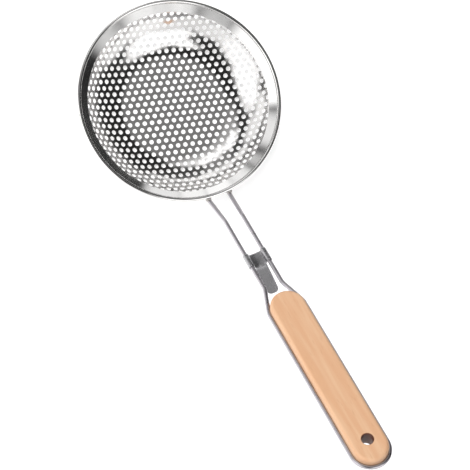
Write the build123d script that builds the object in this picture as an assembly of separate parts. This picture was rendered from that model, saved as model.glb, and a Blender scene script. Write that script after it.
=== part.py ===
from build123d import *
import math
import os

# Skimmer with a perforated bowl, a wire handle and a wooden grip.
# Lengths are in millimetres and angles in degrees.
# The bowl's axis is +Z and the handle runs towards -Y.
# The origin is the middle of the bowl's flat underside.

# Bowl, pressed from one perforated sheet
sheet_thickness = 0.5
floor_radius = 31.0
wall_radius = 38.0  # inside radius of the curve that turns the floor up into the wall
wall_angle = 55.0  # how far that curve turns
flange_angle = 42.0  # slope of the plain edge that the rim band grips
flange_length = 8.3  # from the wall's curve to the middle of the core wire
hole_diameter = 3.2
hole_pitch = 5.12  # measured along the sheet, in close-packed rows
hole_row_angle = -12.9
hole_reach = 0.9  # how far past the end of the wall's curve the middles of the last holes may lie

# Rim band, a strip folded over the bowl's edge and rolled round a core wire
band_thickness = 0.45
core_wire_diameter = 2.0
inner_leaf_share = 0.88  # of the flange's length
outer_leaf_share = 0.77
edge_gap = 0.4  # between the bowl's edge and the core wire

# Handle wire, one length bent round the grip, with both ends welded under the rim
wire_diameter = 3.0
neck_angle = 38.4  # slope of the two ends as they leave the rim
neck_length = 23.8
neck_end_length = 5.5  # how far the ends reach in under the rim
neck_half_gap = 7.7  # from the middle plane to each wire's end
shaft_half_gap = 6.3  # the same between the bend and the grip
handle_angle = 27.7  # slope of the rest of the handle
neck_bend_radius = 9.0
splay_start = 58.5  # where the wires begin to part, measured along the handle from the neck bend
splay_length = 18.0
splay_bend_radius = 10.0
shoulder_bend_radius = 12.0
loop_half_width = 12.3  # from the middle plane to each wire beside the grip
loop_length = 111.1  # from the shoulder to the middle of the half circle at the loop's end

# Wooden grip, one piece with a groove all round its edge
grip_thickness = 13.0
grip_setback = 2.5  # from the shoulder to the middle of the grip's round front end
grip_edge_radius = 2.4
wire_stand_off = 0.7  # how far the wire's middle line stands outside the grip's edge
hang_hole_diameter = 7.5
hang_hole_setback = 3.6  # in front of the middle of the loop's half circle
hang_hole_edge_radius = 0.5

# Pot hook, one stamped sheet curled round both wires, with a tongue towards the grip
hook_thickness = 0.6
hook_start = 29.8
hook_length = 10.4
curl_open_angle = 112.0  # how far each curl goes on under its wire, past the outer side
trough_depth = 1.5  # of the middle of the trough's sheet below the wires' plane
trough_bend_radius = 1.0
tongue_width_share = 0.9  # of the trough's width
tongue_reach = 19.7
tongue_angle = 15.0
tongue_bend_radius = 4.0
tongue_tip_radius = 3.0
tongue_root_radius = 0.4

# Welds between the rim band and the ends of the handle wire
weld_radius = 2.4
weld_gap = 0.3  # between the wire and the rim's bead

# Shared clearances
fit_gap = 0.05
overrun = 1.0

# Values that follow from the sizes above
half_sheet = sheet_thickness / 2
half_slot = half_sheet + fit_gap
half_fold = half_slot + band_thickness
wire_radius = wire_diameter / 2
core_radius = core_wire_diameter / 2
bead_radius = core_radius + fit_gap + band_thickness
curl_radius = wire_radius + fit_gap + hook_thickness / 2
wall_end = floor_radius + math.radians(wall_angle) * wall_radius  # measured along the sheet from the axis


def wall_point(turn, radius):
    """A point of the wall's curve, as (distance from the axis, height)."""
    angle = math.radians(turn)
    height = sheet_thickness + wall_radius - radius * math.cos(angle)
    return floor_radius + radius * math.sin(angle), height


def flange_point(along, off):
    """A point near the flange: along its slope from the wall, and off its middle surface."""
    start = wall_point(wall_angle, wall_radius + half_sheet)
    run = math.cos(math.radians(flange_angle))
    rise = math.sin(math.radians(flange_angle))
    return start[0] + along * run - off * rise, start[1] + along * rise + off * run


bead_centre = flange_point(flange_length, 0)


def flange_strip(share, end, low, high):
    """A flat strip of the rim's section, lying along the flange from the given share of it to an end."""
    start = flange_length * (1 - share)
    corners = [
        flange_point(start, low),
        flange_point(end, low),
        flange_point(end, high),
        flange_point(start, high),
    ]
    return make_face(Polyline(*corners, close=True).edges())


def bowl_section():
    """Half section of the bowl's sheet, from the axis to the edge inside the rim band."""
    edge = flange_length - core_radius - edge_gap
    under = wall_radius + sheet_thickness
    under_end = wall_point(wall_angle, under)
    inner_end = wall_point(wall_angle, wall_radius)
    outline = Polyline((floor_radius, sheet_thickness), (0, sheet_thickness), (0, 0), (floor_radius, 0))
    outline += ThreePointArc((floor_radius, 0), wall_point(wall_angle / 2, under), under_end)
    outline += Polyline(under_end, flange_point(edge, -half_sheet), flange_point(edge, half_sheet), inner_end)
    outline += ThreePointArc(inner_end, wall_point(wall_angle / 2, wall_radius), (floor_radius, sheet_thickness))
    return make_face(outline.edges())


def hole_punch(x, y):
    """The punch for one hole of the flat pattern, square to the sheet where the pressed bowl has it."""
    along = math.hypot(x, y)
    heading = math.atan2(y, x)
    lean = max(0, along - floor_radius) / wall_radius
    radius, height = wall_point(math.degrees(lean), wall_radius)
    radius = min(radius, along)
    if along > wall_end:
        lean = math.radians(flange_angle)
        radius, height = flange_point(along - wall_end, half_sheet)
    inward = (-math.sin(lean) * math.cos(heading), -math.sin(lean) * math.sin(heading), math.cos(lean))
    place = Plane(origin=(radius * math.cos(heading), radius * math.sin(heading), height), z_dir=inward)
    return place * Cylinder(hole_diameter / 2, 6 * sheet_thickness)


def make_bowl():
    """The bowl. The axis is midway between two holes of a row, so each quarter of the pattern mirrors the next."""
    quarter_turn = 90
    row_pitch = hole_pitch * math.sqrt(3) / 2
    last_hole = wall_end + hole_reach
    punches = []
    for row in range(math.ceil(last_hole / row_pitch)):
        stagger = (row + 1) % 2 / 2
        for column in range(math.ceil(last_hole / hole_pitch)):
            x = (column + stagger) * hole_pitch
            y = row * row_pitch
            if math.hypot(x, y) <= last_hole:
                punches.append(hole_punch(x, y))
    quarter = revolve(Plane.XZ * bowl_section(), Axis.Z, quarter_turn).cut(*punches)
    half = quarter.fuse(quarter.mirror(Plane.XZ))
    return half.fuse(half.mirror(Plane.YZ)).clean().rotate(Axis.Z, hole_row_angle)


def make_rim_band():
    """The folded strip: a leaf on each side of the bowl's edge, joined by the rolled bead."""
    bore_radius = core_radius + fit_gap
    leaf_end = flange_length - bore_radius
    section = Pos(*bead_centre) * (Circle(bead_radius) - Circle(bore_radius))
    section += flange_strip(inner_leaf_share, leaf_end, half_slot, half_fold)
    section += flange_strip(outer_leaf_share, leaf_end, -half_fold, -half_slot)
    section -= flange_strip(inner_leaf_share, flange_length, -half_slot, half_slot)
    return revolve(Plane.XZ * section, Axis.Z)


def make_core_wire():
    """The stiffening wire inside the bead."""
    return revolve(Plane.XZ * Pos(*bead_centre) * Circle(core_radius), Axis.Z)


def slope_direction(angle):
    """The direction that leaves the bowl towards -Y and rises at an angle."""
    return Vector(0, -math.cos(math.radians(angle)), math.sin(math.radians(angle)))


# The wire ends pass under the bead where it is as far from the middle plane as they are.
neck_direction = slope_direction(neck_angle)
neck_below = slope_direction(neck_angle - 90)
bead_beside_neck = Vector(0, -math.sqrt(bead_centre[0] ** 2 - neck_half_gap**2), bead_centre[1])
neck_crossing = bead_beside_neck + neck_below * (bead_radius + weld_gap + wire_radius)
neck_bend = neck_crossing + neck_direction * neck_length
handle_direction = slope_direction(handle_angle)
handle_plane = Plane(origin=neck_bend, x_dir=(1, 0, 0), z_dir=slope_direction(handle_angle + 90))
shoulder = splay_start + splay_length
loop_centre = shoulder + loop_length
grip_front_centre = shoulder + grip_setback
grip_half_width = loop_half_width - wire_stand_off


def on_handle(x, along, above=0):
    """A point given across the handle, along it from the neck bend and above the wires' plane."""
    return handle_plane.from_local_coords(Vector(x, -along, above))


def side_line(side):
    """Middle line of one side of the handle wire, from its welded end to the loop's half circle."""
    end = neck_crossing - neck_direction * neck_end_length
    return FilletPolyline(
        end + Vector(side * neck_half_gap, 0, 0),
        neck_bend + Vector(side * shaft_half_gap, 0, 0),
        on_handle(side * shaft_half_gap, splay_start),
        on_handle(side * loop_half_width, shoulder),
        on_handle(side * loop_half_width, loop_centre),
        radius=[neck_bend_radius, splay_bend_radius, shoulder_bend_radius],
    )


def round_bar(radius):
    """A round bar along the handle wire's middle line, from one welded end round to the other."""
    right = side_line(1)
    left = side_line(-1)
    loop = ThreePointArc(right @ 1, on_handle(0, loop_centre + loop_half_width), left @ 1)
    path = Wire(right.edges() + loop.edges() + left.edges())
    start = Plane(origin=right @ 0, z_dir=right % 0)
    return sweep(start * Circle(radius), path=path)


def make_grip():
    """The wooden grip, with its edge groove and hanging hole."""
    middle = (loop_centre + grip_front_centre) / 2
    outline = SlotCenterToCenter(loop_centre - grip_front_centre, 2 * grip_half_width)
    block = extrude(Pos(0, -middle) * Rot(0, 0, 90) * outline, grip_thickness / 2, both=True)
    flats = block.faces().sort_by(Axis.Z)
    block = fillet(flats[0].edges() + flats[-1].edges(), grip_edge_radius)
    hole_radius = hang_hole_diameter / 2
    hole_place = Pos(0, hang_hole_setback - loop_centre)
    block -= hole_place * Cylinder(hole_radius, grip_thickness + overrun)
    mouths = block.edges().filter_by(GeomType.CIRCLE)
    mouths = mouths.filter_by(lambda edge: math.isclose(edge.radius, hole_radius, rel_tol=0.001))
    block = fillet(mouths, hang_hole_edge_radius)
    return handle_plane * block - round_bar(wire_radius + fit_gap)


def hook_section():
    """Cross-section of the hook over the wires: two curls with a trough between them."""
    wall = shaft_half_gap - curl_radius
    web_end = wall - trough_bend_radius
    bend_height = trough_bend_radius - trough_depth
    half = Line((0, -trough_depth), (web_end, -trough_depth))
    half += CenterArc((web_end, bend_height), trough_bend_radius, 270, 90)
    half += Line((wall, bend_height), (wall, 0))
    half += CenterArc((shaft_half_gap, 0), curl_radius, 180, -180 - curl_open_angle)
    right = trace(half.edges(), hook_thickness)
    return right + mirror(right, Plane.YZ)


def make_tongue():
    """The tongue: the trough's sheet going on towards the grip, bent down, with rounded corners."""
    half_width = (shaft_half_gap - curl_radius) * tongue_width_share
    root = hook_start + hook_length
    plan = Pos(0, -root - tongue_reach / 2) * Rectangle(2 * half_width, tongue_reach)
    plan = fillet(plan.vertices().group_by(Axis.Y)[-1], tongue_root_radius)
    plan = fillet(plan.vertices().group_by(Axis.Y)[0], tongue_tip_radius)
    bend = CenterArc((0, -tongue_bend_radius), tongue_bend_radius, 90, -tongue_angle)
    straight = Line(bend @ 1, bend @ 1 + (bend % 1) * (tongue_reach + overrun))
    side_plane = Plane(origin=on_handle(0, root, -trough_depth), x_dir=handle_direction, z_dir=(-1, 0, 0))
    side = trace(bend.edges() + straight.edges(), hook_thickness)
    sheet = extrude(side_plane * side, half_width + overrun, both=True)
    return sheet & extrude(handle_plane * plan, tongue_reach, both=True)


def make_hook():
    """The pot hook: curls, trough and tongue in one sheet."""
    place = Plane(origin=on_handle(0, hook_start), x_dir=(1, 0, 0), z_dir=handle_direction)
    return extrude(place * hook_section(), hook_length, dir=handle_direction) + make_tongue()


def make_weld(side):
    """One weld, filling the corner between a wire end and the underside of the rim."""
    to_middle = neck_below * (bead_radius + weld_gap / 2)
    lump = Pos(*(bead_beside_neck + to_middle + Vector(side * neck_half_gap, 0, 0))) * Sphere(weld_radius)
    rim_section = Pos(*bead_centre) * Circle(bead_radius + fit_gap)
    rim_section += flange_strip(inner_leaf_share, flange_length, -half_fold - fit_gap, half_fold + fit_gap)
    rim = revolve(Plane.XZ * rim_section, Axis.Z)
    return lump - rim - round_bar(wire_radius + fit_gap)


parts = {
    "perforated_bowl": make_bowl(),
    "rim_band": make_rim_band(),
    "rim_core_wire": make_core_wire(),
    "handle_wire": round_bar(wire_radius),
    "wood_grip": make_grip(),
    "pot_hook_clip": make_hook(),
    "weld_left": make_weld(-1),
    "weld_right": make_weld(1),
}

os.makedirs("parts", exist_ok=True)
for name, shape in parts.items():
    export_step(shape, f"parts/{name}.step", write_pcurves=False)
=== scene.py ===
import logging
import math
from dataclasses import dataclass
from enum import Enum
from functools import partial
from typing import Callable

import bmesh
import bpy
from mathutils import Matrix, Vector, noise


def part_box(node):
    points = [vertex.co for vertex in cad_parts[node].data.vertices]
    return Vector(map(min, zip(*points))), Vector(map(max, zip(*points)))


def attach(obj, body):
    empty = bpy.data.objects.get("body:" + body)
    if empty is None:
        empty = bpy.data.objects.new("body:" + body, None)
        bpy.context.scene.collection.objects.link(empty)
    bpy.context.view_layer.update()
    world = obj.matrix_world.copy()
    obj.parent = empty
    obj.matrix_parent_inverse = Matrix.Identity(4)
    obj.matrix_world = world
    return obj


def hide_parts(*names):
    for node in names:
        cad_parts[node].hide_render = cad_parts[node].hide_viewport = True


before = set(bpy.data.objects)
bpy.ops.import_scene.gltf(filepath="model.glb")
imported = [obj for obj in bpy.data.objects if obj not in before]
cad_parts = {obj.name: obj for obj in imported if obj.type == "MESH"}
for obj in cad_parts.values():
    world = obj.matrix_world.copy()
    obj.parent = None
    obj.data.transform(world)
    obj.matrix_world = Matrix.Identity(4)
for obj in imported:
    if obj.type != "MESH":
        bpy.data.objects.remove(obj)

log = logging.getLogger("skimmer")

MM = 0.001
MERGE = 0.001 * MM  # points nearer than this are one point
BODY = "root"
HOLE_MARK = "at_hole"  # the attribute that is 1 on the points of a hole's edge
HOLE_LIMIT = 0.25  # an edge whose mean mark is lower touches no hole

MATH = "ShaderNodeMath"
VECTOR = "ShaderNodeVectorMath"
RANGE = "ShaderNodeMapRange"
NOISE = "ShaderNodeTexNoise"
MIX = "ShaderNodeMix"
BUMP = "ShaderNodeBump"
MAPPING = "ShaderNodeMapping"
COMPARE = "FunctionNodeCompare"
POSITION = "GeometryNodeInputPosition"
SET_POSITION = "GeometryNodeSetPosition"
STORE = "GeometryNodeStoreNamedAttribute"
EXTRUDE = "GeometryNodeExtrudeMesh"
TRANSFORM = "GeometryNodeTransform"
REALIZE = "GeometryNodeRealizeInstances"
MERGE_POINTS = "GeometryNodeMergeByDistance"
COLOUR = {"data_type": "RGBA"}
SOFT = {"interpolation_type": "SMOOTHSTEP"}
EDGES = {"mode": "EDGES"}

Tree = bpy.types.NodeTree
Node = bpy.types.Node
Add = Callable[..., Node]  # add_node with its tree filled in
Source = bpy.types.Node | bpy.types.NodeSocket
Given = dict[str, bpy.types.NodeSocket]
Mesh = bpy.types.Mesh
Piece = bpy.types.Object
Material = bpy.types.Material


class Slot(Enum):
    """The record's material slots."""

    BOWL = "bowl_steel"
    RIM = "rim_steel"
    WIRE = "wire_steel"
    CLIP = "clip_steel"
    GRIP = "grip_wood"


def linear(colour: str) -> tuple[float, float, float, float]:
    """Turn an sRGB hex colour into linear light.

    Args:
        colour: Six hex digits after a hash sign.

    Returns:
        Red, green and blue in linear light, and an alpha of 1.
    """
    channels = [int(colour[place : place + 2], 16) / 255 for place in (1, 3, 5)]
    light = [c / 12.92 if c <= 0.04045 else ((c + 0.055) / 1.055) ** 2.4 for c in channels]
    return (light[0], light[1], light[2], 1.0)


def add_node(tree: Tree, kind: str, settings: dict | str | None = None, inputs: dict | tuple = ()) -> Node:
    """Add a node with its settings and its links.

    Args:
        tree: The node tree that gets it.
        kind: The node's type.
        settings: The node's own properties, or its operation alone.
        inputs: Values by socket name or number, or in the sockets' order. A node stands for its first output.

    Returns:
        The new node.
    """
    node = tree.nodes.new(kind)
    chosen = {"operation": settings} if isinstance(settings, str) else settings or {}
    for name, value in chosen.items():
        setattr(node, name, value)
    wanted = inputs if isinstance(inputs, dict) else dict(enumerate(inputs))
    for key, value in wanted.items():
        if isinstance(value, bpy.types.Node):
            value = next(socket for socket in value.outputs if socket.enabled)
        if isinstance(value, bpy.types.NodeSocket):
            tree.links.new(value, node.inputs[key])
        else:
            node.inputs[key].default_value = value
    return node


def start_material(name: str) -> tuple[Material, Add, bpy.types.NodeSocket]:
    """Start an empty material.

    Args:
        name: The real finish's name.

    Returns:
        The material, what adds its nodes, and its Object coordinates.
    """
    material = bpy.data.materials.new(name)
    material.use_nodes = True
    material.node_tree.nodes.clear()
    add = partial(add_node, material.node_tree)
    return material, add, add("ShaderNodeTexCoord").outputs["Object"]


def end_material(add: Add, inputs: dict[str, object]) -> None:
    """Close a material with a surface that has these inputs."""
    surface = add("ShaderNodeBsdfPrincipled", None, inputs)
    add("ShaderNodeOutputMaterial", None, {"Surface": surface})


def shaped_tree(name: str, sizes: dict[str, str]) -> tuple[Tree, Add, Given]:
    """Start a Geometry Nodes tree with named inputs.

    Args:
        name: The tree's name.
        sizes: Input name to socket type.

    Returns:
        The tree, what adds its nodes, and its inputs by name.
    """
    tree = bpy.data.node_groups.new(name, "GeometryNodeTree")
    tree.interface.new_socket(name="Geometry", in_out="OUTPUT", socket_type="NodeSocketGeometry")
    for size, kind in ({"Geometry": "NodeSocketGeometry"} | sizes).items():
        tree.interface.new_socket(name=size, in_out="INPUT", socket_type=kind)
    add = partial(add_node, tree)
    return tree, add, {socket.name: socket for socket in add("NodeGroupInput").outputs if socket.name}


def end_tree(add: Add, geometry: Source, material: Source) -> None:
    """Close a tree with real meshes that carry their material.

    Args:
        add: Adds the tree's nodes.
        geometry: The shape it has made.
        material: The input that holds the finish.
    """
    real = add(REALIZE, None, (geometry,))
    dressed = add("GeometryNodeSetMaterial", None, {"Geometry": real, "Material": material})
    add("NodeGroupOutput", None, {"Geometry": dressed})


def add_object(name: str, data: bpy.types.ID) -> Piece:
    """Make an object and put it in the scene.

    Args:
        name: The object's name.
        data: Its mesh, camera or light.

    Returns:
        The object.
    """
    made = bpy.data.objects.new(name, data)
    bpy.context.scene.collection.objects.link(made)
    return made


def run_tree(tree: Tree, values: dict[str, object], start: Mesh) -> Mesh:
    """Run a Geometry Nodes tree and keep its result as a plain mesh.

    Args:
        tree: The tree to run.
        values: Input name to value.
        start: The mesh that the tree is given.

    Returns:
        The finished mesh.
    """
    carrier = add_object(tree.name, start)
    modifier = carrier.modifiers.new("shape", "NODES")
    modifier.node_group = tree
    for item in tree.interface.items_tree:
        if item.item_type == "SOCKET" and item.in_out == "INPUT" and item.name in values:
            modifier[item.identifier] = values[item.name]
    graph = bpy.context.evaluated_depsgraph_get()
    mesh = bpy.data.meshes.new_from_object(carrier.evaluated_get(graph))
    carrier.modifiers.remove(modifier)
    bpy.data.objects.remove(carrier)
    return mesh


def mesh_from(name: str, points: list[Vector], faces: list[tuple[int, ...]]) -> Mesh:
    """Make a mesh from points in metres.

    Args:
        name: The mesh's name.
        points: Its vertices.
        faces: Its faces, as vertex numbers.

    Returns:
        The mesh.
    """
    mesh = bpy.data.meshes.new(name)
    mesh.from_pydata([tuple(point) for point in points], [], faces)
    mesh.update()
    return mesh


def face_outwards(mesh: Mesh) -> None:
    """Merge doubled points and turn every face of a closed mesh outwards.

    Args:
        mesh: The closed mesh.
    """
    work = bmesh.new()
    work.from_mesh(mesh)
    bmesh.ops.remove_doubles(work, verts=work.verts, dist=MERGE)
    bmesh.ops.recalc_face_normals(work, faces=work.faces)
    work.to_mesh(mesh)
    work.free()


def place_piece(name: str, mesh: Mesh, material: Material, replaced: str, sharp: float = 35.0) -> Piece:
    """Put a finished mesh in the scene as a piece of the skimmer.

    Args:
        name: The piece's name.
        mesh: Its mesh, in the row frame.
        material: Its finish.
        replaced: The CAD node that it stands for.
        sharp: Edges that turn by more than this many degrees stay sharp.

    Returns:
        The piece.
    """
    mesh.materials.clear()
    mesh.materials.append(material)
    mesh.shade_smooth()
    mesh.set_sharp_from_angle(angle=math.radians(sharp))
    piece = add_object(name, mesh)
    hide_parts(replaced)
    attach(piece, BODY)
    log.info("%s: %d faces", name, len(mesh.polygons))
    return piece


def sweep_grid(
    rows: list[list[Vector]], closed_rows: bool, closed_columns: bool
) -> tuple[list[Vector], list[tuple[int, ...]]]:
    """Join rows of points into a sheet of four-sided faces.

    Args:
        rows: Rows with equal numbers of points.
        closed_rows: Whether the last row joins the first.
        closed_columns: Whether the end of each row joins its start.

    Returns:
        The points and the faces.
    """
    width = len(rows[0])
    points = [point for row in rows for point in row]
    faces = []
    for i in range(len(rows) if closed_rows else len(rows) - 1):
        below = i * width
        above = (i + 1) % len(rows) * width
        for j in range(width if closed_columns else width - 1):
            k = (j + 1) % width
            faces.append((below + j, below + k, above + k, above + j))
    return points, faces


def arc_points(centre: Vector, radius: float, start: float, turn: float, count: int) -> list[Vector]:
    """Points of an arc in a flat drawing.

    Args:
        centre: The arc's middle.
        radius: Its radius.
        start: The first point's angle in degrees.
        turn: How far the arc goes round, in degrees.
        count: The number of steps.

    Returns:
        One point more than there are steps.
    """
    angles = [math.radians(start + turn * step / count) for step in range(count + 1)]
    return [Vector((centre.x + radius * math.cos(a), centre.y + radius * math.sin(a))) for a in angles]


@dataclass(frozen=True)
class Steel:
    """Stainless steel. Its surface is metal, so its colour is that of its reflection.

    Every steel here shares these layers: a slow unevenness that bends reflections, a fine grain from
    rolling or drawing, and smudges that change the gloss and, a little, the tone.
    """

    name: str
    colour: str
    dark_colour: str
    roughness: float
    smudge: float
    smudge_mm: float
    wave_mm: float
    wave_depth_mm: float
    grain_mm: float
    grain_depth_mm: float
    grain_stretch: tuple[float, float, float] = (1.0, 1.0, 1.0)
    tilt: float = 0.0
    smudge_blend: tuple[float, float] = (0.3, 0.7)  # noise levels between which the gloss blends
    glossiest: float = 0.02

    def material(self) -> Material:
        """Make the material of this steel.

        Returns:
            The new material.
        """
        material, add, place = start_material(self.name)
        smudges = {"Vector": place, "Scale": 1 / (self.smudge_mm * MM), "Detail": 4.0, "Roughness": 0.6}
        cloud = add(NOISE, None, smudges)
        clean = max(self.roughness - self.smudge, self.glossiest)
        gloss = add(RANGE, None, (cloud, *self.smudge_blend, clean, self.roughness + self.smudge))
        tone = add(MIX, COLOUR, {0: cloud, 6: linear(self.dark_colour), 7: linear(self.colour)})
        waves = {"Vector": place, "Scale": 1 / (self.wave_mm * MM), "Detail": 1.0, "Roughness": 0.4}
        wave = add(NOISE, None, waves)
        turn = (math.radians(self.tilt), 0.0, 0.0)
        along = add(MAPPING, None, {"Vector": place, "Rotation": turn, "Scale": self.grain_stretch})
        grain = add(NOISE, None, {"Vector": along, "Scale": 1 / (self.grain_mm * MM), "Detail": 2.0})
        waved = add(BUMP, None, {"Strength": 1.0, "Distance": self.wave_depth_mm * MM, "Height": wave})
        relief = {"Strength": 1.0, "Distance": self.grain_depth_mm * MM, "Height": grain, "Normal": waved}
        grained = add(BUMP, None, relief)
        end_material(add, {"Base Color": tone, "Metallic": 1.0, "Roughness": gloss, "Normal": grained})
        return material


@dataclass(frozen=True)
class Beech:
    """Planed, sanded and lightly oiled beech: pale orange, with fine grain along the handle and short dark flecks,
    and painted shade on the hanging hole's wall.
    """

    name: str = "oiled_beech"
    early_wood: str = "#C6A181"
    late_wood: str = "#C09573"
    fleck: str = "#A67A55"
    painted_bore_shade: str = "#5A2A10"  # painted shade: the hanging hole's wall is coloured dark to stand in for the shade inside it
    bore_along: float = 184.0
    bore_radius: float = 3.85
    bore_fade: float = 1.1  # how many bore radii out the hole's painted shade has faded
    ring_mm: float = 5.0
    ring_stretch: float = 14.0
    ring_blend: tuple[float, ...] = (0.36, 0.66)  # noise levels of a blend, then the shares there where they differ
    fibre_mm: float = 0.9  # real pores are 0.1 mm wide and would not show
    fibre_stretch: float = 22.0
    fibre_blend: tuple[float, ...] = (0.35, 0.75, 0.0, 0.5)
    fleck_mm: float = 1.1
    fleck_stretch: float = 7.0
    fleck_blend: tuple[float, ...] = (0.64, 0.76, 0.0, 0.3)
    gloss_range: tuple[float, float] = (0.42, 0.6)
    fibre_depth_mm: float = 0.05
    tilt: float = 27.7

    def material(self) -> Material:
        """Make the material of the wood.

        Returns:
            The new material.
        """
        material, add, place = start_material(self.name)
        turned = add(MAPPING, None, {"Vector": place, "Rotation": (math.radians(self.tilt), 0.0, 0.0)})
        rings = self.stretched_noise(add, turned, self.ring_mm, self.ring_stretch, 3.0)
        fibres = self.stretched_noise(add, turned, self.fibre_mm, self.fibre_stretch, 3.0)
        flecks = self.stretched_noise(add, turned, self.fleck_mm, self.fleck_stretch, 1.0)
        layers = (
            (add(RANGE, SOFT, (rings, *self.ring_blend)), self.late_wood),
            (add(RANGE, None, (fibres, *self.fibre_blend)), self.late_wood),
            (add(RANGE, None, (flecks, *self.fleck_blend)), self.fleck),
            # painted shade inside the hanging hole
            (self.bore_shade_mask(add, turned), self.painted_bore_shade),
        )
        tone: object = linear(self.early_wood)
        for share, colour in layers:
            tone = add(MIX, COLOUR, {0: share, 6: tone, 7: linear(colour)})
        gloss = add(RANGE, None, (fibres, 0.0, 1.0, *self.gloss_range))
        relief = add(BUMP, None, {"Strength": 0.6, "Distance": self.fibre_depth_mm * MM, "Height": fibres})
        end_material(add, {"Base Color": tone, "Roughness": gloss, "IOR": 1.5, "Normal": relief})
        return material

    def bore_shade_mask(self, add: Add, place: Source) -> Node:
        """Where the hanging hole's painted shade goes: 1 on its wall and 0 on the rest of the wood.

        Args:
            add: Adds the material's nodes.
            place: The turned coordinates, with Y along the handle.

        Returns:
            The node that gives the value.
        """
        tilt = math.radians(self.tilt)
        middle = HANDLE.point(0.0, self.bore_along)
        along = middle.y * math.cos(tilt) - middle.z * math.sin(tilt)
        off = add(VECTOR, "SUBTRACT", (place, (0.0, along, 0.0)))
        flat = add(VECTOR, "MULTIPLY", (off, (1.0, 1.0, 0.0)))
        reach = add(VECTOR, "LENGTH", (flat,))
        edge = self.bore_radius * MM
        return add(RANGE, SOFT, (reach, edge, edge * self.bore_fade, 1.0, 0.0))

    def stretched_noise(self, add: Add, place: Source, width_mm: float, stretch: float, detail: float) -> Node:
        """Noise of this width across the handle, and this many times longer along it."""
        drawn = add(MAPPING, None, {"Vector": place, "Scale": (1.0, 1 / stretch, 1.0)})
        return add(NOISE, None, {"Vector": drawn, "Scale": 1 / (width_mm * MM), "Detail": detail})


PRESSED_SHEET = Steel(
    name="bright_pressed_stainless_sheet",  # pressing leaves slow waves between the holes, which break reflections up
    colour="#E4E3E2",
    dark_colour="#D5D3D2",
    roughness=0.13,
    smudge=0.04,
    smudge_mm=9.0,
    wave_mm=7.0,
    wave_depth_mm=0.12,
    grain_mm=0.5,
    grain_depth_mm=0.002,
)
ROLLED_STRIP = Steel(
    name="polished_stainless_strip",  # rolled round the edge and buffed, so reflections run along it
    colour="#ECEBEA",
    dark_colour="#DAD9D8",
    roughness=0.11,
    smudge=0.04,
    smudge_mm=12.0,
    wave_mm=14.0,
    wave_depth_mm=0.08,
    grain_mm=0.6,
    grain_depth_mm=0.002,
)
DRAWN_WIRE = Steel(
    name="bright_drawn_stainless_wire",  # drawing leaves faint lines along the wire, which spread its highlight
    colour="#C6C2C6",
    dark_colour="#B8B4B9",
    roughness=0.3,
    smudge=0.04,
    smudge_mm=6.0,
    wave_mm=10.0,
    wave_depth_mm=0.03,
    grain_mm=0.4,
    grain_depth_mm=0.006,
    grain_stretch=(1.0, 0.05, 1.0),
    tilt=27.7,
)
SATIN_SHEET = Steel(
    name="satin_stainless_sheet",  # brushed across the handle before stamping, so highlights spread
    colour="#BAB9BB",
    dark_colour="#A7A6A9",
    roughness=0.26,
    smudge=0.05,
    smudge_mm=5.0,
    wave_mm=8.0,
    wave_depth_mm=0.05,
    grain_mm=0.4,
    grain_depth_mm=0.01,
    grain_stretch=(0.08, 1.0, 1.0),
    tilt=27.7,
)
WELD_METAL = Steel(
    name="brushed_weld_metal",  # heat leaves a weld slightly darker and rougher than the wire
    colour="#BEBBB8",
    dark_colour="#8F8A86",
    roughness=0.32,
    smudge=0.08,
    smudge_mm=1.5,
    wave_mm=1.6,
    wave_depth_mm=0.12,
    grain_mm=0.5,
    grain_depth_mm=0.02,
)


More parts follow.
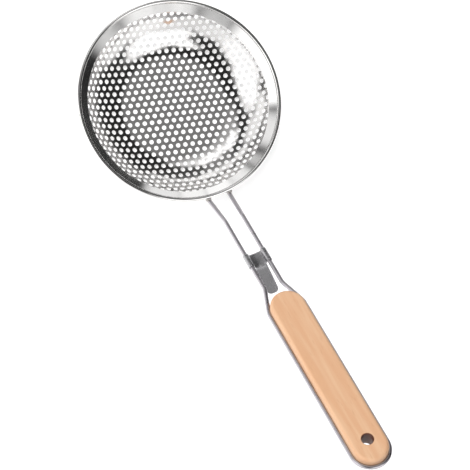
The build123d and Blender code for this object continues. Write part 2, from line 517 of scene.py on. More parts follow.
@dataclass(frozen=True)
class HandleLine:
    """The middle line of the handle wire, in millimetres and degrees."""

    bead_centre: tuple[float, float] = (68.5, 22.11)
    bead_radius: float = 1.5
    wire_radius: float = 1.5
    weld_gap: float = 0.3
    neck_angle: float = 38.4
    neck_length: float = 23.8
    neck_end_length: float = 5.5
    neck_half_gap: float = 7.7
    shaft_half_gap: float = 6.3
    angle: float = 27.7
    splay_start: float = 58.5
    shoulder: float = 76.5
    loop_half_width: float = 12.3
    loop_centre: float = 187.6
    loop_steps: int = 48
    neck_bend_radius: float = 9.0
    splay_bend_radius: float = 10.0
    shoulder_bend_radius: float = 12.0

    def slope(self, angle: float) -> Vector:
        """The direction that leaves the bowl and rises at an angle."""
        return Vector((0.0, -math.cos(math.radians(angle)), math.sin(math.radians(angle))))

    def bead(self, side: int) -> Vector:
        """The middle of the rim's bead over the right (1) or left (-1) neck wire, or midway between them (0)."""
        reach = math.sqrt(self.bead_centre[0] ** 2 - self.neck_half_gap**2)
        return Vector((side * self.neck_half_gap, -reach, self.bead_centre[1]))

    def crossing(self) -> Vector:
        """The point of the middle plane where the neck passes under the rim."""
        drop = self.bead_radius + self.weld_gap + self.wire_radius
        return self.bead(0) + self.slope(self.neck_angle - 90) * drop

    def bend(self) -> Vector:
        """The middle of the neck bend, from which the handle is measured."""
        return self.crossing() + self.slope(self.neck_angle) * self.neck_length

    def point(self, x: float, along: float, above: float = 0.0) -> Vector:
        """The place in metres of a point across the handle, along it from the neck bend, and above its wires."""
        place = self.bend() + self.slope(self.angle) * along + self.slope(self.angle + 90) * above
        return (place + Vector((x, 0.0, 0.0))) * MM

    def side(self, side: int) -> list[Vector]:
        """Rounded middle line of one side.

        Args:
            side: 1 for the right side and -1 for the left.

        Returns:
            Points in metres, from the welded end to the loop's half circle.
        """
        end = self.crossing() - self.slope(self.neck_angle) * self.neck_end_length
        corners = [
            (end + Vector((side * self.neck_half_gap, 0.0, 0.0))) * MM,
            self.point(side * self.shaft_half_gap, 0.0),
            self.point(side * self.shaft_half_gap, self.splay_start),
            self.point(side * self.loop_half_width, self.shoulder),
            self.point(side * self.loop_half_width, self.loop_centre),
        ]
        radii = [self.neck_bend_radius, self.splay_bend_radius, self.shoulder_bend_radius]
        return rounded_line(corners, [radius * MM for radius in radii])

    def whole(self) -> list[Vector]:
        """Join both sides and the loop.

        Returns:
            Points in metres of the whole wire, from one welded end round the loop to the other.
        """
        loop = []
        for step in range(1, self.loop_steps):
            angle = math.pi * step / self.loop_steps
            x = self.loop_half_width * math.cos(angle)
            loop.append(self.point(x, self.loop_centre + self.loop_half_width * math.sin(angle)))
        return self.side(1) + loop + list(reversed(self.side(-1)))


def rounded_line(corners: list[Vector], radii: list[float], steps: int = 8) -> list[Vector]:
    """Round the corners of a line.

    Args:
        corners: Its points, in metres.
        radii: The radius at each inner corner.
        steps: The number of steps in each bend.

    Returns:
        Points along the rounded line.
    """
    line = [corners[0]]
    for before, corner, after, radius in zip(corners, corners[1:], corners[2:], radii):
        back = (before - corner).normalized()
        onward = (after - corner).normalized()
        opening = back.angle(onward)
        turn = math.pi - opening
        reach = radius / math.tan(opening / 2)
        middle = corner + (back + onward).normalized() * radius / math.sin(opening / 2)
        first = corner + back * reach - middle
        last = corner + onward * reach - middle
        for step in range(steps + 1):
            part = turn * step / steps
            line.append(middle + (first * math.sin(turn - part) + last * math.sin(part)) / math.sin(turn))
    line.append(corners[-1])
    return line


HANDLE = HandleLine()


@dataclass
class PerforatedBowl:
    """The bowl: one sheet, punched in close-packed rows and then pressed. Sizes in millimetres."""

    finish: Steel = PRESSED_SHEET
    sheet: float = 0.5
    floor_radius: float = 31.0
    wall_radius: float = 38.0
    wall_angle: float = 55.0
    flange_angle: float = 42.0
    flange_reach: float = 6.9
    hole_radius: float = 1.6
    hole_sides: int = 24
    pitch: float = 5.12
    row_angle: float = 47.1
    hole_shift: tuple[float, float] = (-0.211, 0.330)  # of the pitch, along and across the rows
    hole_reach: float = 0.9
    collar_margin: float = 0.15
    rows: int = 31
    cell_seam: float = 0.02
    ring_seam: float = 0.01

    def wall_end(self) -> float:
        """Where the wall's curve ends, measured along the sheet from the axis."""
        return self.floor_radius + math.radians(self.wall_angle) * self.wall_radius

    def tree(self, values: dict[str, object]) -> Tree:
        """Build the tree that punches the flat sheet and presses it into the bowl.

        Args:
            values: The values that its inputs will get.

        Returns:
            The tree.
        """
        kinds = {"Rows": "NodeSocketInt", "Shift": "NodeSocketVector", "Finish": "NodeSocketMaterial"}
        sizes = {name: kinds.get(name, "NodeSocketFloat") for name in values}
        tree, add, given = shaped_tree("perforated_sheet", sizes)
        punched = self.lattice(add, given, self.cell(add, given))
        pressed = self.press(add, given, self.collar(add, given, punched))
        end_tree(add, pressed, given["Finish"])
        return tree

    def cell(self, add: Add, given: Given) -> Node:
        """One hole with the six-sided piece of sheet round it.

        Args:
            add: Adds the tree's nodes.
            given: The tree's inputs.

        Returns:
            The cell's mesh, whose hole points carry an attribute of 1.
        """
        circle = {"Vertices": self.hole_sides, "Radius": given["Hole Radius"]}
        ring = add("GeometryNodeMeshCircle", None, circle)
        marked = add(STORE, None, {"Geometry": ring, "Name": HOLE_MARK, "Value": 1.0})
        grown = add(EXTRUDE, EDGES, {"Mesh": marked, "Offset Scale": 0.0})
        top = grown.outputs["Top"]
        place = add(POSITION)
        split = add("ShaderNodeSeparateXYZ", None, (place,))
        heading = add(MATH, "ARCTAN2", (split.outputs["Y"], split.outputs["X"]))
        sixth = math.pi / 3
        ahead = add(MATH, "ADD", (heading, sixth / 2))  # so that snapping down finds the nearest side
        nearest = add(MATH, "SNAP", (ahead, sixth))
        away = add(MATH, "SUBTRACT", (heading, nearest))
        lean = add(MATH, "COSINE", (away,))
        half = add(MATH, "MULTIPLY", (given["Pitch"], 0.5))
        reach = add(MATH, "DIVIDE", (half, lean))
        outward = add(VECTOR, "NORMALIZE", (place,))
        corner = add(VECTOR, "SCALE", {0: outward, "Scale": reach})
        spread = add(SET_POSITION, None, {"Geometry": grown, "Selection": top, "Position": corner})
        return add(STORE, None, {"Geometry": spread, "Selection": top, "Name": HOLE_MARK, "Value": 0.0})

    def lattice(self, add: Add, given: Given, cell: Node) -> Node:
        """Set a cell at every hole of the flat pattern, and join them.

        Args:
            add: Adds the tree's nodes.
            given: The tree's inputs.
            cell: The cell's mesh.

        Returns:
            The punched part of the flat sheet.
        """
        row_pitch = add(MATH, "MULTIPLY", (given["Pitch"], math.sqrt(3) / 2))
        steps = add(MATH, "SUBTRACT", (given["Rows"], 1.0))
        width = add(MATH, "MULTIPLY", (steps, given["Pitch"]))
        depth = add(MATH, "MULTIPLY", (steps, row_pitch))
        grid = add("GeometryNodeMeshGrid", None, (width, depth, given["Rows"], given["Rows"]))
        place = add(POSITION)
        split = add("ShaderNodeSeparateXYZ", None, (place,))
        row = add(MATH, "DIVIDE", (split.outputs["Y"], row_pitch))
        whole_row = add(MATH, "ROUND", (row,))
        odd = add(MATH, "FLOORED_MODULO", (whole_row, 2.0))
        half = add(MATH, "MULTIPLY", (given["Pitch"], 0.5))
        stagger = add(MATH, "MULTIPLY", (odd, half))
        sideways = add("ShaderNodeCombineXYZ", None, {"X": stagger})
        moved = add(VECTOR, "MULTIPLY_ADD", (given["Shift"], given["Pitch"], sideways))
        staggered = add(SET_POSITION, None, {"Geometry": grid, "Offset": moved})
        turn = add("ShaderNodeCombineXYZ", None, {"Z": given["Row Angle"]})
        turned = add(TRANSFORM, None, {"Geometry": staggered, "Rotation": turn})
        turned_cell = add(TRANSFORM, None, {"Geometry": cell, "Rotation": turn})
        reach = add(VECTOR, "LENGTH", (place,))
        inside = add(COMPARE, "LESS_EQUAL", (reach, given["Last Hole"]))
        spots = {"Points": turned, "Selection": inside, "Instance": turned_cell}
        cells = add("GeometryNodeInstanceOnPoints", None, spots)
        real = add(REALIZE, None, (cells,))
        return add(MERGE_POINTS, None, {"Geometry": real, "Distance": self.cell_seam * MM})

    def collar(self, add: Add, given: Given, punched: Node) -> Node:
        """Trim the punched part to a circle and add the plain sheet outside it.

        Args:
            add: Adds the tree's nodes.
            given: The tree's inputs.
            punched: The punched part of the flat sheet.

        Returns:
            The whole flat sheet.
        """
        place = add(POSITION)
        reach = add(VECTOR, "LENGTH", (place,))
        outward = add(VECTOR, "NORMALIZE", (place,))
        beyond = add(COMPARE, "GREATER_THAN", (reach, given["Collar"]))
        on_collar = add(VECTOR, "SCALE", {0: outward, "Scale": given["Collar"]})
        sheet = add(SET_POSITION, None, {"Geometry": punched, "Selection": beyond, "Position": on_collar})
        hole = add("GeometryNodeInputNamedAttribute", None, {"Name": HOLE_MARK})
        plain = add(COMPARE, "LESS_THAN", (hole, HOLE_LIMIT))
        sides = add("GeometryNodeInputMeshEdgeNeighbors")
        open_edge = add(COMPARE, {"data_type": "INT", "operation": "EQUAL"}, {2: sides, 3: 1})
        chosen: Source = add("FunctionNodeBooleanMath", "AND", (plain, open_edge))
        for radius in (given["Wall End"], given["Collar"], given["Edge"]):
            grown = add(EXTRUDE, EDGES, {"Mesh": sheet, "Selection": chosen, "Offset Scale": 0.0})
            at_least = add(MATH, "MAXIMUM", (reach, radius))
            ring = add(VECTOR, "SCALE", {0: outward, "Scale": at_least})
            chosen = grown.outputs["Top"]
            sheet = add(SET_POSITION, None, {"Geometry": grown, "Selection": chosen, "Position": ring})
        return add(MERGE_POINTS, None, {"Geometry": sheet, "Distance": self.ring_seam * MM})

    def press(self, add: Add, given: Given, flat: Node) -> Node:
        """Press the flat sheet into a floor, a curved wall and a sloping flange.

        Args:
            add: Adds the tree's nodes.
            given: The tree's inputs.
            flat: The whole flat sheet.

        Returns:
            The middle surface of the bowl.
        """
        place = add(POSITION)
        reach = add(VECTOR, "LENGTH", (place,))
        outward = add(VECTOR, "NORMALIZE", (place,))
        floor = add(MATH, "MINIMUM", (reach, given["Floor Radius"]))
        past = add(MATH, "SUBTRACT", (reach, floor))
        bent = add(MATH, "DIVIDE", (past, given["Wall Radius"]))
        turn = add(MATH, "MINIMUM", (bent, given["Wall Turn"]))
        half = add(MATH, "MULTIPLY", (given["Sheet"], 0.5))
        middle = add(MATH, "ADD", (given["Wall Radius"], half))
        sine = add(MATH, "SINE", (turn,))
        cosine = add(MATH, "COSINE", (turn,))
        out = add(MATH, "MULTIPLY_ADD", (middle, sine, floor))
        drop = add(MATH, "MULTIPLY", (middle, cosine))
        top = add(MATH, "ADD", (given["Wall Radius"], given["Sheet"]))
        up = add(MATH, "SUBTRACT", (top, drop))
        over = add(MATH, "SUBTRACT", (reach, given["Wall End"]))
        flange = add(MATH, "MAXIMUM", (over, 0.0))
        run = add(MATH, "COSINE", (given["Flange Turn"],))
        rise = add(MATH, "SINE", (given["Flange Turn"],))
        radius = add(MATH, "MULTIPLY_ADD", (flange, run, out))
        height = add(MATH, "MULTIPLY_ADD", (flange, rise, up))
        sideways = add(VECTOR, "SCALE", {0: outward, "Scale": radius})
        lifted = add("ShaderNodeCombineXYZ", None, {"Z": height})
        pressed = add(VECTOR, "ADD", (sideways, lifted))
        return add(SET_POSITION, None, {"Geometry": flat, "Position": pressed})

    def build(self) -> Piece:
        """Make the bowl and give the sheet its thickness.

        Returns:
            The bowl.
        """
        material = self.finish.material()
        last_hole = self.wall_end() + self.hole_reach
        values = {
            "Pitch": self.pitch * MM,
            "Rows": self.rows,
            "Hole Radius": self.hole_radius * MM,
            "Row Angle": math.radians(self.row_angle),
            "Shift": (*self.hole_shift, 0.0),
            "Last Hole": last_hole * MM,
            "Collar": (last_hole + self.hole_radius + self.collar_margin) * MM,
            "Wall End": self.wall_end() * MM,
            "Edge": (self.wall_end() + self.flange_reach) * MM,
            "Floor Radius": self.floor_radius * MM,
            "Wall Radius": self.wall_radius * MM,
            "Wall Turn": math.radians(self.wall_angle),
            "Flange Turn": math.radians(self.flange_angle),
            "Sheet": self.sheet * MM,
            "Finish": material,
        }
        mesh = run_tree(self.tree(values), values, bpy.data.meshes.new("bowl_start"))
        self.give_thickness(mesh)
        return place_piece("bowl", mesh, material, "perforated_bowl", sharp=50.0)

    def give_thickness(self, mesh: Mesh) -> None:
        """Turn the middle surface into a sheet with both sides and all its edges.

        Args:
            mesh: The middle surface, changed in place.
        """
        work = bmesh.new()
        work.from_mesh(mesh)
        bmesh.ops.recalc_face_normals(work, faces=work.faces)
        nearest = min(work.faces, key=lambda face: face.calc_center_median().length)
        if nearest.normal.z < 0:
            bmesh.ops.reverse_faces(work, faces=work.faces)
        work.normal_update()
        half = self.sheet / 2 * MM
        lift = {vert: vert.normal * half for vert in work.verts}
        rims = [edge for edge in work.edges if edge.is_boundary]
        copy = bmesh.ops.duplicate(work, geom=list(work.verts) + list(work.edges) + list(work.faces))
        twin = copy["vert_map"]
        for vert, move in lift.items():
            vert.co += move
            twin[vert].co -= move
        under = [item for item in copy["geom"] if isinstance(item, bmesh.types.BMFace)]
        bmesh.ops.reverse_faces(work, faces=under)
        for edge in rims:
            loop = edge.link_loops[0]
            first, second = loop.vert, loop.link_loop_next.vert
            work.faces.new((second, first, twin[first], twin[second]))
        work.to_mesh(mesh)
        work.free()


@dataclass
class Rim:
    """The rim band, folded over the bowl's edge and rolled round its core wire. Sizes in millimetres."""

    finish: Steel = ROLLED_STRIP
    core_finish: Steel = DRAWN_WIRE
    bead_centre: tuple[float, float] = HANDLE.bead_centre
    core_radius: float = 1.0
    gap: float = 0.05
    strip: float = 0.45
    sheet: float = 0.5
    flange_angle: float = 42.0
    inner_leaf: float = 7.3
    outer_leaf: float = 6.4
    leaf_lift: float = 0.6  # the inner leaf's edge stands slightly proud of the sheet
    tip_round: float = 0.12
    bead_steps: int = 40
    bore_steps: int = 20
    steps_round: int = 288

    def section(self) -> list[Vector]:
        """Outline of the folded strip, with X along the flange towards the bead and Y off it.

        Returns:
            Points in millimetres, from the middle of the bead.
        """
        middle = Vector((0.0, 0.0))
        bore = self.core_radius + self.gap
        bead = bore + self.strip
        slot = self.sheet / 2 + self.gap
        fold = slot + self.strip
        soft = self.tip_round
        meet = math.degrees(math.asin(fold / bead))
        bore_meet = math.degrees(math.asin(slot / bore))
        outer = arc_points(middle, bead, 180 - meet, -(360 - 2 * meet), self.bead_steps)
        inner = arc_points(middle, bore, 180 + bore_meet, 360 - 2 * bore_meet, self.bore_steps)
        tips = []
        for leaf, start, end in ((self.outer_leaf, -fold, -slot), (self.inner_leaf, slot, fold + self.leaf_lift)):
            corners = ((soft - leaf, start), (-leaf, start + soft), (-leaf, end - soft), (soft - leaf, end))
            tips.append([Vector(corner) for corner in corners])
        return outer + tips[0] + inner + tips[1]

    def build(self) -> Piece:
        """Make the rim band and dress the core wire.

        Returns:
            The rim band.
        """
        lean = math.radians(self.flange_angle)
        reach, height = self.bead_centre
        low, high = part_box("rim_band")
        widest = (reach + self.core_radius + self.gap + self.strip) * MM
        shrink = min(1.0, min(-low.x, high.x, -low.y, high.y) / widest)
        rows = []
        for step in range(self.steps_round):
            angle = 2 * math.pi * step / self.steps_round
            row = []
            for point in self.section():
                radius = (reach + point.x * math.cos(lean) - point.y * math.sin(lean)) * shrink
                rise = height + point.x * math.sin(lean) + point.y * math.cos(lean)
                row.append(Vector((radius * math.cos(angle), radius * math.sin(angle), rise)) * MM)
            rows.append(row)
        mesh = mesh_from("rim", *sweep_grid(rows, True, True))
        face_outwards(mesh)
        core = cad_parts["rim_core_wire"]
        core.data.materials.clear()
        core.data.materials.append(self.core_finish.material())
        return place_piece("rim", mesh, self.finish.material(), "rim_band", sharp=32.0)


@dataclass
class HandleWire:
    """The handle wire: one length of round wire, swept along its middle line."""

    finish: Steel = DRAWN_WIRE
    sides: int = 32

    def tree(self) -> Tree:
        """Build the tree that sweeps a round section along a line.

        Returns:
            The tree.
        """
        sizes = {"Radius": "NodeSocketFloat", "Sides": "NodeSocketInt", "Finish": "NodeSocketMaterial"}
        tree, add, given = shaped_tree("round_wire", sizes)
        line = add("GeometryNodeMeshToCurve", None, {"Mesh": given["Geometry"]})
        circle = {"Resolution": given["Sides"], "Radius": given["Radius"]}
        section = add("GeometryNodeCurvePrimitiveCircle", None, circle)
        sweep = {"Curve": line, "Profile Curve": section, "Fill Caps": True}
        end_tree(add, add("GeometryNodeCurveToMesh", None, sweep), given["Finish"])
        return tree

    def build(self) -> Piece:
        """Make the handle wire.

        Returns:
            The wire.
        """
        line = HANDLE.whole()
        start = bpy.data.meshes.new("wire_line")
        start.from_pydata([tuple(point) for point in line], [(i, i + 1) for i in range(len(line) - 1)], [])
        material = self.finish.material()
        values = {"Radius": HANDLE.wire_radius * MM, "Sides": self.sides, "Finish": material}
        mesh = run_tree(self.tree(), values, start)
        face_outwards(mesh)
        return place_piece("wire", mesh, material, "handle_wire", sharp=50.0)


@dataclass
class WoodGrip:
    """The wooden grip, with a groove for the wire and a hanging hole. Sizes in millimetres."""

    finish: Beech = Beech()
    thickness: float = 13.0
    edge_radius: float = 2.4
    edge_steps: int = 8
    front_centre: float = 79.0
    back_centre: float = HANDLE.loop_centre
    half_width: float = 11.6
    side_steps: int = 30
    end_steps: int = 36
    groove_radius: float = 1.55
    hole_radius: float = 3.75
    hole_along: float = 184.0
    hole_round: float = 0.5
    hole_steps: int = 48
    mouth_steps: int = 5
    face_slack: float = 0.01

    def outline(self) -> list[tuple[Vector, Vector]]:
        """Points of the grip's outline with their outward directions.

        Returns:
            Pairs of (place, direction), where X is across the handle and Y is along it.
        """
        length = self.back_centre - self.front_centre
        line = []
        for centre, start, side in ((self.front_centre, 180.0, 1), (self.back_centre, 0.0, -1)):
            for point in arc_points(Vector((0.0, 0.0)), 1.0, start, 180.0, self.end_steps):
                line.append((Vector((0.0, centre)) + point * self.half_width, point))
            for step in range(1, self.side_steps):
                along = centre + side * length * step / self.side_steps
                line.append((Vector((side * self.half_width, along)), Vector((side, 0.0))))
        return line

    def wire_distance(self, place: Vector) -> float:
        """How far the wire's middle line is from a place on the grip's outline.

        Args:
            place: The place, as distances across and along the handle.

        Returns:
            The distance.
        """
        loop = place.y - HANDLE.loop_centre
        if loop > 0:
            return HANDLE.loop_half_width - math.hypot(place.x, loop)
        if place.y > HANDLE.shoulder:
            return HANDLE.loop_half_width - abs(place.x)
        run = HANDLE.shoulder - HANDLE.splay_start
        rise = HANDLE.loop_half_width - HANDLE.shaft_half_gap
        back = HANDLE.shoulder - place.y
        across = HANDLE.loop_half_width - back * rise / run - abs(place.x)
        return across * run / math.hypot(run, rise)

    def edge_profile(self, groove: float) -> list[Vector]:
        """Profile of the grip's edge from top to bottom.

        Args:
            groove: How far outside the edge the wire's middle line is.

        Returns:
            Points as (distance out from the outline, height).
        """
        steps = self.edge_steps
        half = self.thickness / 2
        inset = -self.edge_radius
        profile = arc_points(Vector((inset, half + inset)), self.edge_radius, 90.0, -90.0, steps)
        for step in range(-steps, steps + 1):
            height = -self.groove_radius * math.sin(math.pi / 2 * step / steps)
            bite = math.sqrt(max(self.groove_radius**2 - height**2, 0.0)) - groove
            profile.append(Vector((-max(bite, 0.0), height)))
        return profile + arc_points(Vector((inset, -half - inset)), self.edge_radius, 0.0, -90.0, steps)

    def hole_rings(self) -> list[list[Vector]]:
        """Draw the wall of the hanging hole.

        Returns:
            Rings of points in metres, from the top face to the bottom one.
        """
        centre = Vector((self.hole_radius + self.hole_round, self.thickness / 2 - self.hole_round))
        mouth = arc_points(centre, self.hole_round, 90.0, 90.0, self.mouth_steps)
        rings = []
        for spot in mouth + [Vector((point.x, -point.y)) for point in reversed(mouth)]:
            ring = []
            for step in range(self.hole_steps):
                angle = 2 * math.pi * step / self.hole_steps
                across = spot.x * math.cos(angle)
                ring.append(HANDLE.point(across, self.hole_along + spot.x * math.sin(angle), spot.y))
            rings.append(ring)
        return rings

    def build(self) -> Piece:
        """Make the grip.

        Returns:
            The grip.
        """
        rows = []
        for place, out in self.outline():
            row = []
            for spot in self.edge_profile(self.wire_distance(place)):
                row.append(HANDLE.point(place.x + out.x * spot.x, place.y + out.y * spot.x, spot.y))
            rows.append(row)
        work = bmesh.new()
        for points, faces in (sweep_grid(rows, True, False), sweep_grid(self.hole_rings(), False, True)):
            verts = [work.verts.new(point) for point in points]
            for face in faces:
                work.faces.new([verts[i] for i in face])
        bmesh.ops.remove_doubles(work, verts=work.verts, dist=MERGE)
        for level in (self.thickness / 2, -self.thickness / 2):
            rim = [edge for edge in work.edges if edge.is_boundary and self.at_level(edge, level)]
            bmesh.ops.triangle_fill(work, edges=rim, use_beauty=True)
        bmesh.ops.recalc_face_normals(work, faces=work.faces)
        mesh = bpy.data.meshes.new("grip")
        work.to_mesh(mesh)
        work.free()
        piece = place_piece("grip", mesh, self.finish.material(), "wood_grip", sharp=40.0)
        even = piece.modifiers.new("even", "WEIGHTED_NORMAL")
        even.keep_sharp = True
        return piece

    def at_level(self, edge: bmesh.types.BMEdge, level: float) -> bool:
        """Whether an edge lies at a height over the wires' plane.

        Args:
            edge: The edge.
            level: The height.

        Returns:
            True where both its ends are at that height.
        """
        normal = HANDLE.slope(HANDLE.angle + 90)
        heights = [(vert.co - HANDLE.point(0.0, 0.0)).dot(normal) for vert in edge.verts]
        return all(abs(height - level * MM) < self.face_slack * MM for height in heights)


@dataclass
class PotHook:
    """The pot hook: one stamped sheet, curled round both wires, with a tongue. Sizes in millimetres."""

    finish: Steel = SATIN_SHEET
    sheet: float = 0.6
    start: float = 29.8
    length: float = 10.4
    gap: float = 0.05
    open_angle: float = 112.0
    depth: float = 1.5
    bend_radius: float = 1.0
    tongue_half_width: float = 4.0
    tongue_reach: float = 19.7
    tongue_angle: float = 15.0
    tongue_bend: float = 4.0
    root_radius: float = 0.8
    root_steps: tuple[float, ...] = (0.1, 0.25, 0.45, 0.65, 0.85)
    root_end: float = 1.05
    tip_radius: float = 3.0
    edge_round: float = 0.12
    web_sag: float = 0.25
    web_steps: int = 6
    curl_steps: int = 30
    rows: int = 8

    def half_section(self) -> tuple[list[Vector], list[Vector]]:
        """The sheet's middle line on the right side, across the handle.

        Returns:
            The slightly hollow web's points, then the wall's and the curl's, as (distance across, height).
        """
        curl = HANDLE.wire_radius + self.gap + self.sheet / 2
        web_end = HANDLE.shaft_half_gap - curl - self.bend_radius
        web = []
        for step in range(self.web_steps + 1):
            share = step / self.web_steps
            web.append(Vector((web_end * share, -self.depth - self.web_sag * (1 - share**2))))
        corner = Vector((web_end, self.bend_radius - self.depth))
        side = arc_points(corner, self.bend_radius, 270.0, 90.0, self.web_steps)[1:]
        round_wire = Vector((HANDLE.shaft_half_gap, 0.0))
        side += arc_points(round_wire, curl, 180.0, -180.0 - self.open_angle, self.curl_steps)
        return web, side

    def tongue_width(self, along: float) -> float:
        """Half the tongue's width at one place.

        Args:
            along: The distance from its root.

        Returns:
            The half width.
        """
        root = self.half_section()[0][-1].x
        grow = min(along / self.root_radius, 1.0)
        width = root + (self.tongue_half_width - root) * math.sqrt(1 - (1 - grow) ** 2)
        tip = along - (self.tongue_reach - self.tip_radius)
        if tip > 0:
            width -= self.tip_radius - math.sqrt(max(self.tip_radius**2 - tip**2, 0.0))
        return width

    def tongue_drop(self, along: float) -> float:
        """How far the tongue has dropped at one place.

        Args:
            along: The distance from its root.

        Returns:
            The drop below the web.
        """
        turn = math.radians(self.tongue_angle)
        bend_end = self.tongue_bend * math.sin(turn)
        if along < bend_end:
            return self.tongue_bend - math.sqrt(self.tongue_bend**2 - along**2)
        return self.tongue_bend * (1 - math.cos(turn)) + (along - bend_end) * math.tan(turn)

    def tongue_steps(self) -> list[float]:
        """Choose where the tongue's sheet is drawn, closer together in its bends and corners.

        Returns:
            Distances from the tongue's root.
        """
        run = self.tongue_reach - self.tip_radius - self.root_end
        shares = [step / self.rows for step in range(1, self.rows + 1)]
        middle = [self.root_end + run * share for share in shares]
        tip = [self.tongue_reach - self.tip_radius * (1 - math.sin(math.pi / 2 * share)) for share in shares]
        return [*self.root_steps, self.root_end, *middle, *tip]

    def build(self) -> Piece:
        """Make the pot hook.

        Returns:
            The hook.
        """
        web, side = self.half_section()
        right = web + side
        across = [Vector((-point.x, point.y)) for point in reversed(right[1:])] + right
        body = []
        for row in range(self.rows + 1):
            along = self.start + self.length * row / self.rows
            body.append([HANDLE.point(spot.x, along, spot.y) for spot in across])
        points, faces = sweep_grid(body, False, False)
        low = len(side)
        count = 2 * len(web) - 1
        last = [self.rows * len(across) + low + column for column in range(count)]
        root = self.start + self.length
        for reach in self.tongue_steps():
            share = self.tongue_width(reach) / web[-1].x
            hollow = max(1.0 - reach / self.root_end, 0.0)
            fresh = []
            for spot in across[low : low + count]:
                height = -self.depth + (spot.y + self.depth) * hollow
                fresh.append(len(points))
                points.append(HANDLE.point(spot.x * share, root + reach, height - self.tongue_drop(reach)))
            for column in range(count - 1):
                faces.append((last[column], last[column + 1], fresh[column + 1], fresh[column]))
            last = fresh
        mesh = mesh_from("hook", points, faces)
        piece = place_piece("hook", mesh, self.finish.material(), "pot_hook_clip", sharp=60.0)
        shell = piece.modifiers.new("sheet", "SOLIDIFY")
        shell.thickness = self.sheet * MM
        shell.offset = 0.0
        shell.use_even_offset = True
        soft = piece.modifiers.new("soft_edges", "BEVEL")
        soft.width = self.edge_round * MM
        soft.segments = 2
        soft.limit_method = "ANGLE"
        soft.angle_limit = math.radians(60.0)
        return piece


@dataclass
class Weld:
    """One weld between a wire end and the underside of the rim. Sizes in millimetres."""

    side: int
    finish: Steel = WELD_METAL
    radius: float = 2.2
    ripple: float = 0.12
    ripple_mm: float = 1.1
    detail: int = 4

    def build(self) -> Piece:
        """Make the weld, a lump with faint ripples.

        Returns:
            The weld.
        """
        name = "right" if self.side > 0 else "left"
        below = HANDLE.slope(HANDLE.neck_angle - 90)
        middle = HANDLE.bead(self.side) + below * (HANDLE.bead_radius + HANDLE.weld_gap / 2)
        work = bmesh.new()
        bmesh.ops.create_icosphere(work, subdivisions=self.detail, radius=1.0)
        for vert in work.verts:
            out = vert.co.normalized()
            ripple = noise.noise(out * self.radius / self.ripple_mm + Vector((self.side, 0.0, 0.0)))
            vert.co = (middle + out * (self.radius + ripple * self.ripple)) * MM
        mesh = bpy.data.meshes.new(f"weld_{name}")
        work.to_mesh(mesh)
        work.free()
        return place_piece(f"weld_bead_{name}", mesh, self.finish.material(), f"weld_{name}")


@dataclass(frozen=True)
class SoftLight:
    """One soft patch of studio light, in the direction of an azimuth from +X and an angle from straight up."""

    azimuth: float
    zenith: float
    inner: float
    outer: float
    strength: float

    def direction(self) -> Vector:
        """Where the patch is.

        Returns:
            A vector of length 1 towards its middle.
        """
        turn = math.radians(self.azimuth)
        fall = math.radians(self.zenith)
        return Vector((math.sin(fall) * math.cos(turn), math.sin(fall) * math.sin(turn), math.cos(fall)))


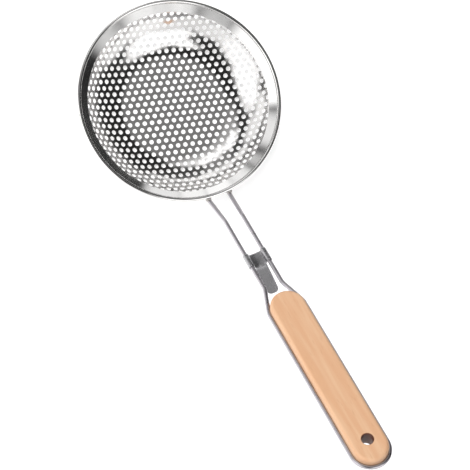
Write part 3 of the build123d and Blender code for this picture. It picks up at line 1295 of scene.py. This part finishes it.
@dataclass
class Studio:
    """The camera, the soft studio light and the pale floor. Places in metres."""

    position: tuple[float, float, float] = (-0.28027, -0.16929, 1.05199)
    right: tuple[float, float, float] = (0.90030, -0.37631, 0.21876)
    up: tuple[float, float, float] = (0.34784, 0.92412, 0.15812)
    back: tuple[float, float, float] = (-0.26166, -0.06626, 0.96288)
    focal_px: float = 1600.0
    frame_px: float = 470.0
    sensor_mm: float = 36.0
    base_light: float = 0.03
    patches: tuple[SoftLight, ...] = tuple(
        SoftLight(*row)
        for row in (  # azimuth, zenith, inner, outer, strength
            (165.0, 52.0, 14.0, 25.0, 2.3),
            (188.0, 66.0, 18.0, 32.0, 1.8),
            (212.0, 80.0, 12.0, 28.0, 1.3),
            (262.0, 38.0, 13.0, 20.0, 2.4),
            (292.0, 42.0, 13.0, 22.0, 2.4),
            (270.0, 62.0, 12.0, 28.0, 1.2),
            (240.0, 74.0, 10.0, 24.0, 1.1),
            (290.0, 92.0, 20.0, 45.0, 0.6),
            (100.0, 42.0, 4.0, 11.0, 2.2),
            (78.0, 42.0, 4.0, 11.0, 2.2),
            (60.0, 40.0, 2.0, 9.0, 1.2),
            (88.0, 31.0, 6.0, 22.0, 0.55),
            (66.0, 33.0, 4.0, 14.0, 0.6),
            (36.0, 18.0, 8.0, 20.0, 0.29),
            (104.0, 76.0, 4.0, 9.0, 1.4),
            (90.0, 76.0, 4.0, 9.0, 1.4),
            (76.0, 78.0, 5.0, 10.0, 1.6),
            (63.0, 81.0, 4.0, 9.0, 1.5),
            (50.0, 84.0, 5.0, 11.0, 1.3),
            (126.0, 70.0, 8.0, 17.0, 1.3),
            (142.0, 80.0, 8.0, 18.0, 1.4),
            (285.0, 74.0, 12.0, 24.0, 1.4),
            (313.0, 81.0, 9.0, 20.0, 1.2),
            (228.0, 64.0, 8.0, 20.0, 1.2),
            (86.0, 62.0, 5.0, 16.0, 0.32),
            (80.0, 85.0, 20.0, 50.0, 0.09),
            (10.0, 100.0, 10.0, 40.0, 0.03),
        )
    )
    stand: SoftLight = SoftLight(azimuth=231.0, zenith=39.0, inner=8.0, outer=15.0, strength=1.0)
    key_energy: float = 24.0
    key_size: float = 1.4
    key_place: tuple[float, float, float] = (-0.5, 0.35, 1.3)
    key_target: tuple[float, float, float] = (0.0, -0.08, 0.03)
    floor_size: float = 6.0
    floor_glow: float = 0.25
    far_glow: float = 0.05
    glow_fade: tuple[float, float] = (0.4, 0.9)
    bowl_shade: tuple[float, float] = (0.025, 0.06)

    def camera(self) -> None:
        """Place the camera at the photograph's viewing angle."""
        data = bpy.data.cameras.new("camera")
        data.sensor_width = self.sensor_mm
        data.sensor_fit = "HORIZONTAL"
        data.lens = self.focal_px / self.frame_px * self.sensor_mm
        data.clip_start = 0.01
        data.clip_end = 20.0
        camera = add_object("camera", data)
        turn = Matrix((self.right, self.up, self.back)).transposed().to_4x4()
        camera.matrix_world = Matrix.Translation(Vector(self.position)) @ turn
        bpy.context.scene.camera = camera

    def surroundings(self) -> None:
        """Light the scene with a dim room that has soft bright patches, as a light tent has."""
        world = bpy.data.worlds.new("studio")
        world.use_nodes = True
        world.node_tree.nodes.clear()
        add = partial(add_node, world.node_tree)
        place = add("ShaderNodeTexCoord").outputs["Generated"]
        facing = add(VECTOR, "NORMALIZE", (place,))
        glows = [self.glow(add, facing, patch, 0.0, patch.strength) for patch in self.patches]
        total = glows[0]
        for glow in glows[1:]:
            total = add(MATH, "MAXIMUM", (total, glow))
        clear = self.glow(add, facing, self.stand, 1.0, 0.0)
        seen = add(MATH, "MULTIPLY", (total, clear))
        light = add(MATH, "ADD", (seen, self.base_light))
        background = add("ShaderNodeBackground", None, {"Strength": light})
        add("ShaderNodeOutputWorld", None, {"Surface": background})
        bpy.context.scene.world = world

    def glow(self, add: Add, facing: Source, patch: SoftLight, outside: float, inside: float) -> Node:
        """A value that blends from one level to another inside a soft patch.

        Args:
            add: Adds the world's nodes.
            facing: The direction looked in.
            patch: Where the patch is and how soft.
            outside: The value away from it.
            inside: The value in its middle.

        Returns:
            The node that gives the blended value.
        """
        near = add(VECTOR, "DOT_PRODUCT", (facing, patch.direction()))
        outer, inner = math.cos(math.radians(patch.outer)), math.cos(math.radians(patch.inner))
        return add(RANGE, SOFT, (near, outer, inner, outside, inside))

    def key(self) -> None:
        """Add a large soft overhead light, which the steel doesn't mirror."""
        data = bpy.data.lights.new("overhead", "AREA")
        data.shape = "DISK"
        data.size = self.key_size
        data.energy = self.key_energy
        lamp = add_object("overhead", data)
        lamp.location = self.key_place
        aim = Vector(self.key_target) - lamp.location
        lamp.rotation_euler = aim.to_track_quat("-Z", "Y").to_euler()
        lamp.visible_glossy = False

    def floor(self) -> None:
        """Lay the pale paper floor, which glows faintly so that it shows white: a painted glow that fades far out and
        is taken away under the bowl as painted shade.
        """
        half = self.floor_size / 2
        corners = [Vector((x * half, y * half, 0)) for x, y in ((-1, -1), (1, -1), (1, 1), (-1, 1))]
        mesh = mesh_from("floor", corners, [(0, 1, 2, 3)])
        material, add, place = start_material("white_paper")  # matt, so it spreads light and mirrors nothing
        away = add(VECTOR, "LENGTH", (place,))
        fade = add(RANGE, SOFT, (away, *self.glow_fade, self.floor_glow, self.far_glow))
        # painted shade under the bowl: the floor's glow is taken away there
        shaded = add(RANGE, SOFT, (away, *self.bowl_shade, 0.0, 1.0))
        lift = add(MATH, "MULTIPLY", (fade, shaded))
        paper = {"Base Color": linear("#F4F4F4"), "Roughness": 0.9}
        end_material(add, paper | {"Emission Color": linear("#FFFFFF"), "Emission Strength": lift})
        mesh.materials.append(material)
        add_object("floor", mesh)

    def build(self) -> None:
        """Set up the whole studio."""
        for step in (self.camera, self.surroundings, self.key, self.floor):
            step()
        bpy.context.scene.view_settings.view_transform = "Standard"


def main() -> None:
    """Build the skimmer piece by piece, then light it."""
    logging.basicConfig(level=logging.INFO, format="%(name)s %(message)s")
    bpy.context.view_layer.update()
    builders: list[Callable[[], object]] = [
        PerforatedBowl().build,
        Rim().build,
        HandleWire().build,
        WoodGrip().build,
        PotHook().build,
        Weld(side=-1).build,
        Weld(side=1).build,
        Studio().build,
    ]
    for build in builders:
        build()


if __name__ == "__main__":
    main()
